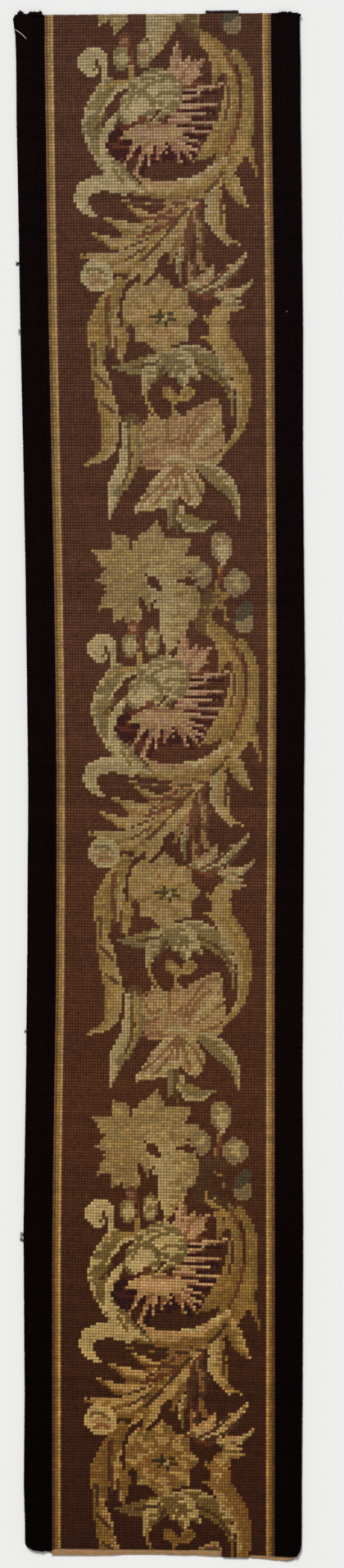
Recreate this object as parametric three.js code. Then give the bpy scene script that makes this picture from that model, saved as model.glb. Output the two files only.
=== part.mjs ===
// A strip of counted wool needlework, lying face up on a flat surface.
// It is one cloth: a canvas worked all over, whose two long margins are folded under as narrow hems.
// A little of the bare canvas shows along the foot.
// Millimetres. +X runs across the strip, +Y along it to its top end, +Z up.
// The origin is on the surface that the strip lies on, under the middle of its box.

import * as THREE from 'three';

// Driving dimensions

const LENGTH = 1344.3;         // from the lowest point of the foot to the highest loop of the top end
const WIDTH = 242;             // usual width: sizes across a hem keep their share of it
const WORKED_THICK = 2.3;      // canvas with wool on its face and back
const BARE_THICK = 0.9;        // canvas alone
const HEM_WIDTH = 14;          // how far each side margin is folded under
const HEM_SHORT = 1.5;         // how far a hem stops short of each end of the strip
const HEM_GAP = 0.4;           // between a hem and the worked cloth over it
const HEM_SLOPE = 7;           // width over which the cloth comes down from its hem to the surface
const FOLD_DEPTH = 2.6;        // from the outside of a fold to where the cloth runs level
const EDGE_ROUND = 0.7;        // how much lower the wool is at a worked end than on the face
const EDGE_IN = 0.5;           // first row in from an end
const EDGE_RISE = 0.9;         // length over which the wool reaches its full height

// Mesh steps

const SPREAD = 12;             // even steps across the strip, besides the turns of its two ends
const HEM_STEPS = 4;           // steps across a hem
const FOLD_STEPS = 5;          // steps round a fold
const CLOSEST = 0.005;         // least distance between two columns, as a share of the width
const FOOT_ZONE = 40;          // level rows of points start this far above the foot's lowest point
const TOP_ZONE = 12;           // and stop this far below the highest loop

// The long edges: at each height above the foot, where the left and the right fold lie.
// The strip leans, narrows in the middle and flares at its top left corner.

const EDGES = [
  { up: 0, left: -116.0, right: 124.2 },
  { up: 32, left: -116.2, right: 124.5 },
  { up: 65, left: -117.2, right: 124.5 },
  { up: 145, left: -116.4, right: 125.1 },
  { up: 288, left: -117.6, right: 125.7 },
  { up: 415, left: -115.5, right: 125.0 },
  { up: 536, left: -114.1, right: 125.7 },
  { up: 671, left: -113.5, right: 126.4 },
  { up: 764, left: -114.6, right: 127.4 },
  { up: 856, left: -115.8, right: 126.4 },
  { up: 956, left: -117.6, right: 125.5 },
  { up: 1070, left: -120.2, right: 125.5 },
  { up: 1183, left: -122.1, right: 124.5 },
  { up: 1247, left: -123.6, right: 123.6 },
  { up: 1300, left: -123.8, right: 123.5 },
  { up: 1322, left: -124.6, right: 122.9 },
  { up: 1345, left: -127.4, right: 122.9 },
];

// The foot, from left to right: the edge of the cloth, and the line where the wool stops.
// Where the two are equal the wool runs to the edge.

const FOOT = [
  { across: -116.2, edge: 16.0, wool: 16.0 },
  { across: -114.0, edge: 12.2, wool: 12.2 },
  { across: -109.0, edge: 9.4, wool: 9.4 },
  { across: -101.5, edge: 8.2, wool: 8.2 },
  { across: -93.5, edge: 8.4, wool: 8.4 },
  { across: -91.0, edge: 4.4, wool: 10.7 },
  { across: -49.0, edge: 4.3, wool: 10.5 },
  { across: -31.0, edge: 5.5, wool: 10.3 },
  { across: 0.0, edge: 5.5, wool: 10.2 },
  { across: 33.0, edge: 4.5, wool: 9.6 },
  { across: 53.5, edge: 3.5, wool: 9.3 },
  { across: 55.5, edge: 3.2, wool: 3.2 },
  { across: 77.2, edge: 2.8, wool: 2.8 },
  { across: 79.2, edge: 2.5, wool: 5.4 },
  { across: 92.0, edge: 1.8, wool: 5.0 },
  { across: 101.0, edge: 0.6, wool: 4.0 },
  { across: 111.0, edge: 0.0, wool: 3.7 },
  { across: 116.5, edge: 1.1, wool: 3.6 },
  { across: 119.5, edge: 3.4, wool: 3.4 },
  { across: 122.2, edge: 6.5, wool: 6.5 },
  { across: 124.0, edge: 12.5, wool: 12.5 },
];

// The top end, from left to right: loops of the black band, the field's last row, one short
// row above it on the right, and the domed end of the other band.

const TOP = [
  { across: -127.4, edge: 1338.3 },
  { across: -123.0, edge: 1341.3 },
  { across: -119.6, edge: 1344.2 },
  { across: -117.0, edge: 1341.2 },
  { across: -113.6, edge: 1341.4 },
  { across: -110.6, edge: 1344.3 },
  { across: -106.6, edge: 1343.2 },
  { across: -102.0, edge: 1344.2 },
  { across: -99.8, edge: 1341.6 },
  { across: -30.0, edge: 1341.8 },
  { across: 20.0, edge: 1342.9 },
  { across: 39.8, edge: 1343.0 },
  { across: 41.4, edge: 1343.9 },
  { across: 69.6, edge: 1343.9 },
  { across: 71.0, edge: 1341.4 },
  { across: 98.0, edge: 1341.5 },
  { across: 103.0, edge: 1342.8 },
  { across: 109.5, edge: 1343.5 },
  { across: 116.5, edge: 1342.9 },
  { across: 121.0, edge: 1341.6 },
  { across: 122.9, edge: 1340.2 },
];

// A value from a table's column, in straight lines between its rows.
function between(table, key, value, at) {
  if (at <= table[0][key]) return table[0][value];
  for (let n = 1; n < table.length; n++) {
    const low = table[n - 1];
    const high = table[n];
    if (at <= high[key]) {
      return THREE.MathUtils.mapLinear(at, low[key], high[key], low[value], high[value]);
    }
  }
  return table[table.length - 1][value];
}

// The left and right edges at a height above the foot.
function edgesAt(up) {
  const left = between(EDGES, 'up', 'left', up);
  const right = between(EDGES, 'up', 'right', up);
  return { left, right, width: right - left };
}

// Where a point across the strip lies, as a share of the width at that height.
function shareOf(across, up) {
  const { left, width } = edgesAt(up);
  return (across - left) / width;
}

// The columns of points across the face: beside each hem, at each turn of both ends, and evenly spread.
function columnShares() {
  const fixed = [];
  for (const inward of [HEM_WIDTH, HEM_WIDTH + HEM_SLOPE / 2, HEM_WIDTH + HEM_SLOPE]) {
    fixed.push(inward / WIDTH, 1 - inward / WIDTH);
  }
  const loose = [];
  for (const turn of FOOT) loose.push(shareOf(turn.across, 0));
  for (const turn of TOP) loose.push(shareOf(turn.across, LENGTH));
  for (let n = 1; n < SPREAD; n++) loose.push(n / SPREAD);

  const fold = FOLD_DEPTH / WIDTH;
  const kept = [...fixed];
  for (const mark of loose) {
    const onFace = mark > fold + CLOSEST && mark < 1 - fold - CLOSEST;
    const isApart = kept.every((other) => Math.abs(other - mark) > CLOSEST);
    if (onFace && isApart) kept.push(mark);
  }
  return kept.sort((a, b) => a - b);
}

// How much the cloth is lifted by the hem under it, at a distance in from a fold.
function liftAt(inward) {
  const past = (inward - HEM_WIDTH) / HEM_SLOPE;
  return (1 - THREE.MathUtils.smoothstep(past, 0, 1)) * (BARE_THICK + HEM_GAP);
}

// The path that the cloth takes across the strip, from one hem's raw edge to the other's.
// Each step gives the share of the width at which the cloth's outer and inner side lie, and
// their heights for a cloth of a given thickness. The outer side is the underside of a hem,
// the outside of a fold and the worked face.

function hemSteps() {
  const steps = [];
  for (let n = 0; n < HEM_STEPS; n++) {
    const share = THREE.MathUtils.lerp(HEM_WIDTH, FOLD_DEPTH, n / HEM_STEPS) / WIDTH;
    steps.push({ isHem: true, outer: share, inner: share, heights: () => [0, BARE_THICK] });
  }
  return steps;
}

function foldSteps() {
  const steps = [];
  for (let n = 0; n <= FOLD_STEPS; n++) {
    const turn = (Math.PI * n) / FOLD_STEPS;
    const reach = Math.sin(turn);
    const rise = (1 - Math.cos(turn)) / 2;
    const outer = (FOLD_DEPTH * (1 - reach)) / WIDTH;
    const inner = (FOLD_DEPTH - (reach * HEM_GAP) / 2) / WIDTH;
    const heights = (thick) => [rise * (BARE_THICK + HEM_GAP + thick), BARE_THICK + rise * HEM_GAP];
    steps.push({ outer, inner, heights });
  }
  return steps;
}

function faceSteps() {
  return columnShares().map((share) => {
    const lift = liftAt(Math.min(share, 1 - share) * WIDTH);
    return { outer: share, inner: share, heights: (thick) => [lift + thick, lift] };
  });
}

function crossSteps() {
  const left = [...hemSteps(), ...foldSteps()];
  const mirror = (step) => ({ ...step, outer: 1 - step.outer, inner: 1 - step.inner });
  const right = left.map(mirror).reverse();
  return [...left, ...faceSteps(), ...right];
}

// The outer and inner point of one step of the path, at one row of the strip.
function pointsAt(step, row) {
  const outerX = row.edges.left + step.outer * row.edges.width;
  const innerX = row.edges.left + step.inner * row.edges.width;
  const short = step.isHem ? row.hemShort : 0;
  const [outerZ, innerZ] = step.heights(row.thickness(outerX));
  return [
    new THREE.Vector3(outerX, row.along(outerX) + short, outerZ),
    new THREE.Vector3(innerX, row.along(innerX) + short, innerZ),
  ];
}

// The rows of points, from the foot to the top end.
function rowsAlong() {
  const footEdge = (x) => between(FOOT, 'across', 'edge', x);
  const woolEdge = (x) => Math.max(between(FOOT, 'across', 'wool', x), footEdge(x) + EDGE_IN);
  const topEdge = (x) => between(TOP, 'across', 'edge', x);
  const isBare = (x) => woolEdge(x) > footEdge(x) + EDGE_IN;
  const footThick = (round) => (x) => (isBare(x) ? BARE_THICK : WORKED_THICK - round);
  const fullThick = () => WORKED_THICK;

  const rows = [];
  const add = (up, along, thickness, hemShort) => {
    rows.push({ edges: edgesAt(up), along, thickness, hemShort });
  };

  add(0, footEdge, footThick(EDGE_ROUND), HEM_SHORT);
  add(0, woolEdge, footThick(EDGE_ROUND / 3), HEM_SHORT);
  add(0, (x) => woolEdge(x) + EDGE_RISE, fullThick, HEM_SHORT);
  for (const { up } of EDGES) {
    if (up > FOOT_ZONE && up < LENGTH - TOP_ZONE) add(up, () => up, fullThick, 0);
  }
  add(LENGTH, (x) => topEdge(x) - EDGE_RISE, fullThick, -HEM_SHORT);
  add(LENGTH, topEdge, () => WORKED_THICK - EDGE_ROUND, -HEM_SHORT);
  return rows;
}

// The cloth: a grid of outer points and a grid of inner points, joined along the four rims.
function clothGeometry() {
  const steps = crossSteps();
  const rows = rowsAlong();
  const points = rows.flatMap((row) => steps.flatMap((step) => pointsAt(step, row)));
  const lastStep = steps.length - 1;
  const lastRow = rows.length - 1;

  const outer = (k, j) => 2 * (j * steps.length + k);
  const inner = (k, j) => outer(k, j) + 1;
  const index = [];
  const quad = (a, b, c, d) => index.push(a, b, c, a, c, d);

  for (let j = 0; j < lastRow; j++) {
    for (let k = 0; k < lastStep; k++) {
      quad(outer(k, j), outer(k + 1, j), outer(k + 1, j + 1), outer(k, j + 1));
      quad(inner(k, j), inner(k, j + 1), inner(k + 1, j + 1), inner(k + 1, j));
    }
    quad(inner(0, j), outer(0, j), outer(0, j + 1), inner(0, j + 1));
    quad(outer(lastStep, j), inner(lastStep, j), inner(lastStep, j + 1), outer(lastStep, j + 1));
  }
  for (let k = 0; k < lastStep; k++) {
    quad(inner(k, 0), inner(k + 1, 0), outer(k + 1, 0), outer(k, 0));
    quad(outer(k, lastRow), outer(k + 1, lastRow), inner(k + 1, lastRow), inner(k, lastRow));
  }

  const geometry = new THREE.BufferGeometry().setFromPoints(points);
  geometry.setIndex(index);
  geometry.computeVertexNormals();
  return geometry;
}

// Wool worked over canvas, seen as one brown cloth.
const workedWool = new THREE.MeshStandardMaterial({
  color: new THREE.Color(0.2, 0.12, 0.09),
  roughness: 0.95,
  metalness: 0,
});

const cloth = new THREE.Mesh(clothGeometry(), workedWool);
cloth.name = 'worked_canvas';
cloth.geometry.computeBoundingBox();
const middle = cloth.geometry.boundingBox.getCenter(new THREE.Vector3());
cloth.position.set(-middle.x, -middle.y, 0);

const panel = new THREE.Group();
panel.add(cloth);

export default panel;
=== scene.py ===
# A long strip of wool needlepoint, lying face up on a pale floor.
# The strip is one canvas with its side margins folded under. It is worked all over, with one low relief
# for each cross stitch, from a chart that the functions below draw.
# Sizes in the tables are millimetres. Columns and rows are counted in stitches.

import math

import bpy
import numpy as np
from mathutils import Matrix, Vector


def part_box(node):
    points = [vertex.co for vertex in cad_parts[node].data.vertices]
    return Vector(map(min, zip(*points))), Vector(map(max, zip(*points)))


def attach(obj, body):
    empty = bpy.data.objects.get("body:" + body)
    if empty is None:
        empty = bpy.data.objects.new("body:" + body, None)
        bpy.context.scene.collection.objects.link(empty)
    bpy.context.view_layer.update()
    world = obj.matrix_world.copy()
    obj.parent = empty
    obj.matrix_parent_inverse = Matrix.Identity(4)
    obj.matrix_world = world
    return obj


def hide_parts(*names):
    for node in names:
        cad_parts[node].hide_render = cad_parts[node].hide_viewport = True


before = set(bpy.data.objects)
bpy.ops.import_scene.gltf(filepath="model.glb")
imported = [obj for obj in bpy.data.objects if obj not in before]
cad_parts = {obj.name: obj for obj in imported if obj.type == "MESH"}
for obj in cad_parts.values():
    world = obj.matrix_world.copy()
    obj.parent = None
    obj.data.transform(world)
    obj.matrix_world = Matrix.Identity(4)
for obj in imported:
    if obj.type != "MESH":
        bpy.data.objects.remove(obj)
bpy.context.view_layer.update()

MM = 0.001
cloth_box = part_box("worked_canvas")

# The strip's outline: its long edges, its foot and its top end

EDGES = [  # height above the foot, left fold, right fold
    (0, -116.0, 124.2),
    (32, -116.2, 124.5),
    (65, -117.2, 124.5),
    (145, -116.4, 125.1),
    (288, -117.6, 125.7),
    (415, -115.5, 125.0),
    (536, -114.1, 125.7),
    (671, -113.5, 126.4),
    (764, -114.6, 127.4),
    (856, -115.8, 126.4),
    (956, -117.6, 125.5),
    (1070, -120.2, 125.5),
    (1183, -122.1, 124.5),
    (1247, -123.6, 123.6),
    (1300, -123.8, 123.5),
    (1322, -124.6, 122.9),
    (1345, -127.4, 122.9),
]

FOOT = [  # across, edge of the canvas, line where the wool stops
    (-116.2, 16.0, 16.0),
    (-114.0, 12.2, 12.2),
    (-109.0, 9.4, 9.4),
    (-101.5, 8.2, 8.2),
    (-93.5, 8.4, 8.4),
    (-91.0, 4.4, 10.7),
    (-49.0, 4.3, 10.5),
    (-31.0, 5.5, 10.3),
    (0.0, 5.5, 10.2),
    (33.0, 4.5, 9.6),
    (53.5, 3.5, 9.3),
    (55.5, 3.2, 3.2),
    (77.2, 2.8, 2.8),
    (79.2, 2.5, 5.4),
    (92.0, 1.8, 5.0),
    (101.0, 0.6, 4.0),
    (111.0, 0.0, 3.7),
    (116.5, 1.1, 3.6),
    (119.5, 3.4, 3.4),
    (122.2, 6.5, 6.5),
    (124.0, 12.5, 12.5),
]

BARE_FOOT = [(-91.0, 53.5), (79.5, 118.0)]     # the stretches of the foot where bare canvas shows
THREAD_PITCH = 1.27        # from one canvas thread to the next

TOP = [  # across, edge of the top end
    (-127.4, 1338.3),
    (-123.0, 1341.3),
    (-119.6, 1344.2),
    (-117.0, 1341.2),
    (-113.6, 1341.4),
    (-110.6, 1344.3),
    (-106.6, 1343.2),
    (-102.0, 1344.2),
    (-99.8, 1341.6),
    (-30.0, 1341.8),
    (20.0, 1342.9),
    (39.8, 1343.0),
    (41.4, 1343.9),
    (69.6, 1343.9),
    (71.0, 1341.4),
    (98.0, 1341.5),
    (103.0, 1342.8),
    (109.5, 1343.5),
    (116.5, 1342.9),
    (121.0, 1341.6),
    (122.9, 1340.2),
]

# How the stitches run: the gold lines' outer edges, the height of a row, and how much a row drops
# towards the right for each unit across

LINES = [  # height above the foot, left gold line's outer edge, right gold line's outer edge
    (74, -92.5, 101.0),
    (250, -92.5, 101.2),
    (330, -91.8, 101.0),
    (500, -89.2, 101.0),
    (590, -88.7, 101.5),
    (680, -88.7, 102.1),
    (760, -89.5, 102.5),
    (850, -90.8, 102.2),
    (930, -92.5, 101.5),
    (1090, -95.8, 100.6),
    (1310, -99.0, 97.8),
]

ROW_HEIGHTS = [  # height above the foot, height of one row there
    (60, 2.49),
    (460, 2.495),
    (600, 2.46),
    (740, 2.47),
    (890, 2.575),
    (1300, 2.59),
]

DROPS = [  # height above the foot, drop towards the right
    (85, 0.028),
    (210, 0.033),
    (300, 0.030),
    (380, 0.021),
    (540, 0.019),
    (640, 0.013),
    (820, 0.010),
    (910, 0.004),
    (1020, 0.0),
    (1150, -0.006),
    (1320, -0.008),
]

FIRST_ROW_UP = 1341.9      # top edge of the first row, on the middle line
MIDDLE_ACROSS = 0.6        # where the middle line lies

# The cloth's thicknesses

SHEET = 1.3                # canvas with the wool on its back
WOOL = 1.0                 # wool over the canvas
BARE = 0.8                 # canvas alone
HEM_WIDTH = 14.0
HEM_SLOPE = 7.0
HEM_SHORT = 1.5            # how far a hem stops short of each end
FOLD_RADIUS = 1.3          # outside of the folded canvas
HEM_LIFT = 2 * FOLD_RADIUS - SHEET
LOWEST = 0.05              # nothing goes lower than this

# The count: columns run from the left gold line's outer edge

FIELD_COLUMNS = 76
LINE_COLUMNS = 3
BAND_COLUMNS = 11          # columns of a band, with those that turn round the fold
REPEAT_ROWS = 198
FIRST_ROW = -1             # a black row above the pattern's first one
MOST_ROWS = 534
SEED = 20


def column(table, n):
    return np.array([row[n] for row in table], float)


def between(table, value, at, key=0):
    """A value of a table, in straight lines between its rows."""
    return np.interp(at, column(table, key), column(table, value))


# From columns and rows to the strip

FINE = 0.25                # the step in which heights are turned into rows
PAST_ENDS = 6              # how far beyond both ends the count goes on
count_ups = np.arange(FIRST_ROW_UP + PAST_ENDS, -PAST_ENDS, -FINE)
count_rows = np.cumsum(FINE / between(ROW_HEIGHTS, 1, count_ups - FINE / 2))
count_rows -= np.interp(-FIRST_ROW_UP, -count_ups, count_rows)


def row_up(row):
    return np.interp(row, count_rows, count_ups)


def place(col, row):
    """Across and up, in millimetres, of a point of the count."""
    up = row_up(row)
    left = between(LINES, 1, up)
    right = between(LINES, 2, up)
    across = left + (right - left) * np.asarray(col, float) / FIELD_COLUMNS
    return across, up - between(DROPS, 1, up) * (across - MIDDLE_ACROSS)


def count_at(across, up):
    """The column and row that lie at a point of the strip."""
    level = up + between(DROPS, 1, up) * (across - MIDDLE_ACROSS)
    left = between(LINES, 1, level)
    right = between(LINES, 2, level)
    col = (across - left) / (right - left) * FIELD_COLUMNS
    return col, np.interp(-level, -count_ups, count_rows)


def smooth(t):
    t = np.clip(t, 0, 1)
    return t * t * (3 - 2 * t)


def lift(inward):
    """How much a hem raises the cloth over it."""
    return HEM_LIFT * (1 - smooth((inward - HEM_WIDTH) / HEM_SLOPE))


def on_cloth(across, up, height):
    """The point at a height over the canvas: straight above it on the face, square to it round a fold."""
    left = between(EDGES, 1, up)
    right = between(EDGES, 2, up)
    side = np.where(across < (left + right) / 2, -1.0, 1.0)
    edge = np.where(side < 0, left, right)
    turn_start = edge - side * (FOLD_RADIUS + WOOL)
    past = side * (across - turn_start)
    turn = np.clip(past, 0, None) / (FOLD_RADIUS + WOOL / 2)
    reach = FOLD_RADIUS + height
    x = np.where(past > 0, turn_start + side * reach * np.sin(turn), across)
    inward = np.abs(edge - across)
    face = SHEET + lift(inward) + height
    z = np.where(past > 0, FOLD_RADIUS + reach * np.cos(turn), face)
    return x, up, np.maximum(z, LOWEST)


def in_frame(x, y, z):
    """Points in metres, in the frame of the part."""
    shift = cloth_box[0].x - MM * column(EDGES, 1).min()
    return np.stack([x * MM + shift, y * MM + cloth_box[0].y, z * MM], -1)


# The wools, as a worked patch of each looks from a step away (sRGB, 0 to 255)

WOOLS = {
    "ground": (75, 46, 33),
    "band": (12, 4, 5),
    "black": (34, 22, 20),
    "line_tan": (100, 74, 46),
    "line_gold": (131, 101, 58),
    "line_pale": (148, 119, 78),
    "cream": (154, 136, 100),
    "pale_sage": (146, 128, 92),
    "sage": (112, 96, 63),
    "olive": (114, 94, 52),
    "dark_olive": (90, 68, 42),
    "sand": (143, 119, 80),
    "gold": (138, 111, 66),
    "old_gold": (122, 95, 53),
    "moss": (128, 106, 70),
    "tan": (132, 101, 68),
    "peach": (142, 110, 78),
    "pink": (150, 119, 92),
    "rose": (128, 90, 68),
    "rust": (100, 58, 38),
    "brick": (84, 40, 30),
    "wine": (54, 24, 22),
    "brown": (88, 62, 40),
    "fawn": (122, 90, 60),
    "bottle": (66, 58, 34),
    "teal": (72, 62, 47),
    "pale_teal": (117, 99, 73),
}
NAMES = list(WOOLS)
LINE_WOOLS = ["line_tan", "line_gold", "line_pale"]    # from a line's outer edge inwards


def numbers(names):
    """The numbers that stand for some wools in the chart."""
    return np.array([NAMES.index(name) for name in names])


def curve(points, count=90):
    """A smooth line through a few points."""
    points = np.array(points, float)
    ends = np.vstack([2 * points[0] - points[1], points, 2 * points[-1] - points[-2]])
    at = np.linspace(0, len(points) - 1, count)
    n = np.minimum(at.astype(int), len(points) - 2)
    t = (at - n)[:, None]
    a, b, c, d = (ends[n + k] for k in range(4))
    square, cube = 2 * a - 5 * b + 4 * c - d, 3 * b - a - 3 * c + d
    return 0.5 * (2 * b + (c - a) * t + square * t**2 + cube * t**3)


def polar(centre, radius, angle, squash=1.0):
    """The point at a radius and an angle in radians, 0 to the right and growing as the rows do."""
    return centre[0] + radius * math.cos(angle), centre[1] + squash * radius * math.sin(angle)


def towards(start, end, share):
    """The point at a share of the way from one point to another."""
    return start[0] + share * (end[0] - start[0]), start[1] + share * (end[1] - start[1])


def spiral(centre, radii, angles, count=6):
    """Points that wind from one radius to another, between two angles in degrees."""
    turns = np.radians(np.linspace(*angles, count))
    return [polar(centre, r, a) for r, a in zip(np.linspace(*radii, count), turns)]


THINNEST = 0.55            # half the width of the thinnest line, in stitches
RUN = 4                    # how many stitches of a row share in one streak


class Chart:
    """One repeat of the pattern, a wool for each stitch. Rows run on from one repeat into the next.
    Wools are given as names in one string, or as a list of them."""

    def __init__(self):
        self.cells = np.full((REPEAT_ROWS, FIELD_COLUMNS), NAMES.index("ground"))
        self.random = np.random.default_rng(SEED)
        self.shift = (0.0, 0.0)

    def area(self, low, high, margin):
        """The columns and rows round a shape, between the gold lines."""
        rows = np.arange(math.floor(low[1] - margin), math.ceil(high[1] + margin) + 1)
        cols = np.arange(max(math.floor(low[0] - margin), LINE_COLUMNS),
                         min(math.ceil(high[0] + margin) + 1, FIELD_COLUMNS - LINE_COLUMNS))
        return np.meshgrid(cols, rows)

    def fill(self, wools, cols, rows, inside, share, mix):
        """Lays wools by share, 0 to 1. Each row has its own runs, so that the shades meet in streaks."""
        wools = wools.split() if isinstance(wools, str) else wools
        wide = cols.shape[1]
        rough = self.random.standard_normal((cols.shape[0], wide + RUN - 1))
        streaks = sum(rough[:, k : k + wide] for k in range(RUN)) / math.sqrt(RUN)
        pick = np.floor((share + mix * streaks) * len(wools)).astype(int)
        tones = numbers(wools)[np.clip(pick, 0, len(wools) - 1)]
        self.cells[rows[inside] % REPEAT_ROWS, cols[inside]] = tones[inside]

    def leaf(self, wools, spine, width, lobes=0, bite=0.45, widest=0.4, root=0.35, vein=None, mix=0.14):
        """A leaf along a smooth spine from base to tip, toothed if it has lobes. The wools run from its
        left side to its right, seen from the base. width is its greatest half width, at the share widest
        of its length, and root is the share of that at its base."""
        line = curve(spine) + self.shift
        cols, rows = self.area(line.min(0), line.max(0), width)
        gap = np.stack([cols + 0.5, rows + 0.5], -1)[:, :, None] - line
        apart = np.hypot(gap[..., 0], gap[..., 1])
        near = apart.argmin(2)
        away = np.take_along_axis(apart, near[..., None], 2)[..., 0]
        gap = np.take_along_axis(gap, near[..., None, None], 2)[:, :, 0]
        way = np.gradient(line, axis=0)[near]
        side = np.sign(way[..., 0] * gap[..., 1] - way[..., 1] * gap[..., 0])
        t = near / (len(line) - 1)
        half = width * np.where(t < widest, root + (1 - root) * np.sin(t / widest * math.pi / 2),
                                np.clip((1 - t) / (1 - widest), 0, 1) ** 0.75)
        if lobes:
            half = half * (1 - bite + bite * ((t * lobes + 0.25 * (side > 0)) % 1.0))
        half = np.maximum(half, THINNEST)
        self.fill(wools, cols, rows, away <= half, 0.5 + 0.5 * side * away / half, mix)
        if vein:
            self.fill(vein, cols, rows, (away < THINNEST) & (t > 0.08) & (t < 0.8), 0 * t, 0)

    def stroke(self, wools, points, half=THINNEST):
        """A line of one width."""
        self.leaf(wools, points, half, root=1.0, widest=0.95)

    def oval(self, wools, centre, radii, tilt=0.0, petals=0, depth=0.0, mix=0.12):
        """An oval, or a round flower if it has petals. The wools run out from its middle."""
        centre = np.add(centre, self.shift)
        cols, rows = self.area(centre, centre, max(radii) * (1 + depth))
        x, y = cols + 0.5 - centre[0], rows + 0.5 - centre[1]
        turn = math.radians(tilt)
        u = (x * math.cos(turn) + y * math.sin(turn)) / radii[0]
        v = (y * math.cos(turn) - x * math.sin(turn)) / radii[1]
        out = np.hypot(u, v)
        rim = 1 + depth * (np.abs(np.cos(petals * np.arctan2(v, u) / 2)) - 0.5) if petals else 1.0
        self.fill(wools, cols, rows, out <= rim, out / rim, mix)


# Shades of one leaf, from its light side to its dark side

SAGES = "pale_sage sage sage olive".split()
PALES = "cream pale_sage pale_sage sage".split()
GOLDS = "sand gold gold old_gold".split()
DEEP_GOLDS = "gold gold old_gold old_gold olive".split()


def draw_left_scroll(chart):
    chart.leaf(SAGES[::-1], [(21, 23), (16.8, 32), (15.8, 42), (20.4, 54.6)], 3.6, widest=0.5, root=0.6)
    chart.leaf(PALES[::-1], [(24.6, 33), (20.4, 40), (19.6, 48), (22, 55)], 2.1, widest=0.5)
    chart.leaf("cream pale_sage sage", [(30, 22.4), (24, 25), (18.6, 33)], 1.8, widest=0.35, root=0.7)
    chart.leaf("cream pale_sage cream pale_sage",
               [(15.4, 18.8), (13.6, 16.4), (15, 13.8), (18.4, 13.6), (20, 17.4), (19.4, 25)], 2.6,
               root=0.9, widest=0.5)
    for line in ([(18.2, 17.2), (16.4, 18.6)], [(21, 33), (17, 38.6)]):
        chart.stroke("dark_olive", line)


def draw_bud_pair(chart):
    chart.oval("rose rust", (26.8, 8.6), (2.2, 2.4), tilt=40)
    chart.stroke("rust brick", [(28.4, 10.4), (29.3, 17.6)], 0.9)
    chart.oval("pale_sage pale_sage sage", (25.8, 14.8), (2.8, 4.2))
    chart.oval("tan pale_sage sage", (33.3, 13.2), (2.8, 4.8))
    chart.stroke("gold", [(29.2, 18), (29.3, 23)], 0.9)
    chart.leaf(GOLDS, [(31, 23.6), (25, 22.8), (18.6, 25)], 1.3, widest=0.3)


def draw_thistle(chart):
    """The thistle on its side: a pale cup, a ragged crown above it and tufts to the right and below."""
    chart.oval("brick wine brown ground", (47.4, 34), (9.2, 11), mix=0.5)
    chart.oval("wine wine brick", (36, 44), (11.8, 5.6), mix=0.5)
    chart.oval("brick wine wine", (24.6, 44.2), (4.2, 5.8), mix=0.4)
    for n, row in enumerate(np.arange(26, 45, 2.5)):
        reach = 13.4 * math.sqrt(1 - ((row - 31) / 19) ** 2) + 2.8 * chart.random.standard_normal()
        left, drop = 41 + 0.3 * n, 0.1 * (row - 31)
        line = [(left, row), (left + reach / 2, row + drop), (left + reach, row + 3 * drop - 0.8)]
        chart.leaf("pink pink rose", line, 1.15, root=0.9, widest=0.35, mix=0.2)
        chart.stroke("wine", [(left + 5, row + 1.5 + drop), (left + 0.9 * reach, row + 1.6 + 2 * drop)])
    for tip, half in (((44.4, 9.6), 3.4), ((49, 14), 3.0), ((53.2, 15.4), 2.8), ((52, 20.6), 2.4)):
        line = [(44.6, 25), ((44 + tip[0]) / 2, 0.4 * tip[1] + 14), tip]
        chart.leaf("pink peach pink rose", line, half, lobes=2, bite=0.2, widest=0.45, root=0.8, mix=0.3)
    chart.stroke("rose", [(45.4, 24), (47, 19), (50.4, 16)])
    chart.stroke("rust", [(41, 25.4), (47, 24.6), (53, 23)])
    for n, angle in enumerate(np.radians(np.linspace(122, 52, 7))):
        reach = 17.6 + 2.4 * chart.random.standard_normal()
        bent = ((6, 0), (11, 0.06 * (-1) ** n), (reach, 0))
        line = [polar((37, 33.4), radius, angle + bend) for radius, bend in bent]
        chart.leaf("pink peach rose", line, 1.3, root=0.9, widest=0.6, mix=0.2)
        if n % 2:
            chart.stroke("wine", [(x + 2, y + 1) for x, y in line[1:]], 0.7)
    chart.oval("cream pale_sage pale_sage sage", (36.4, 25.4), (8.6, 6.8), tilt=-20, petals=5, depth=0.1,
               mix=0.2)
    chart.oval("cream cream pale_sage sage", (30.6, 31.8), (6.6, 6.0), tilt=-60, petals=5, depth=0.1,
               mix=0.2)
    chart.leaf("sage pale_sage", [(44.4, 25), (42, 31), (36.6, 35.6)], 2.6, root=0.8)
    for line in (
        [(41, 21.6), (35, 23.6), (31.4, 27)],
        [(42.4, 26.6), (37.6, 27.4), (35, 31)],
        [(29, 27.4), (27.4, 31.4)],
    ):
        chart.stroke("sage", line)
    chart.oval("pink pink peach sand", (35.6, 40), (9.6, 3.6), petals=9, depth=0.3, mix=0.3)
    chart.oval("rust", (32.2, 35.2), (1.5, 1.7))
    chart.stroke("brick", [(30.6, 36.6), (26, 38.6)])
    chart.stroke("rose", [(34.6, 37), (39, 37.6), (43.4, 36.4)])


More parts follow.
